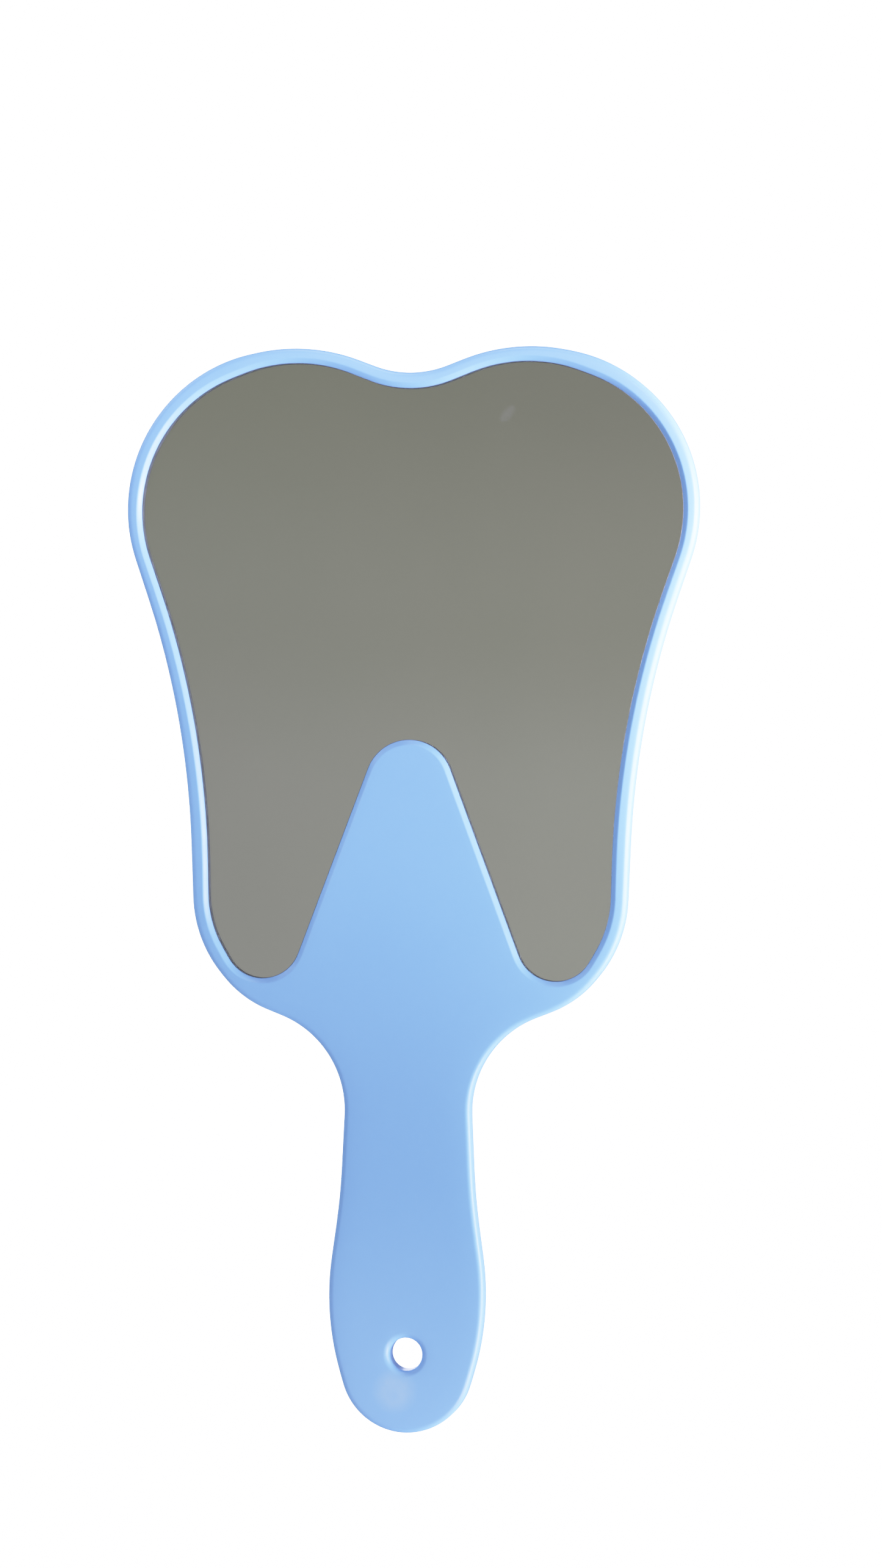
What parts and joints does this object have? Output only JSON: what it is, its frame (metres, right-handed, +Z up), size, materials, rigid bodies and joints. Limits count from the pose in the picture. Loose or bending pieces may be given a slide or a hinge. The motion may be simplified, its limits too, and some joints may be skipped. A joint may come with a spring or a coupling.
{
  "type": "mouth mirror",
  "caption": "Tooth-shaped hand mirror for dental patients: a light-blue moulded frame with a flat waisted handle and hanging hole, and a tooth-shaped mirror set into its front.",
  "frame": {"origin": "middle of the grip, halfway through its thickness", "axes": "+Z up along the handle to the crown, -Y the way the mirror faces, +X to the right of a person looking into the mirror"},
  "size_m": [0.1334, 0.006, 0.2501],
  "materials": {
    "blue_plastic": "light-blue moulded ABS, satin gloss, finely polished",
    "clear_glass": "clear float glass with ground edges",
    "silver": "bright mirror silvering",
    "grey_paint": "matt grey protective paint on the mirror's back",
    "foam_tape": "white double-sided foam tape, matt"
  },
  "bodies": {
    "root": {"handle_frame": "blue_plastic", "mirror_glass": "clear_glass", "silver_coating": "silver", "backing_paint": "grey_paint", "tape_crown_left": "foam_tape", "tape_crown_right": "foam_tape", "tape_centre": "foam_tape", "tape_root_left": "foam_tape", "tape_root_right": "foam_tape"}
  },
  "joints": []
}
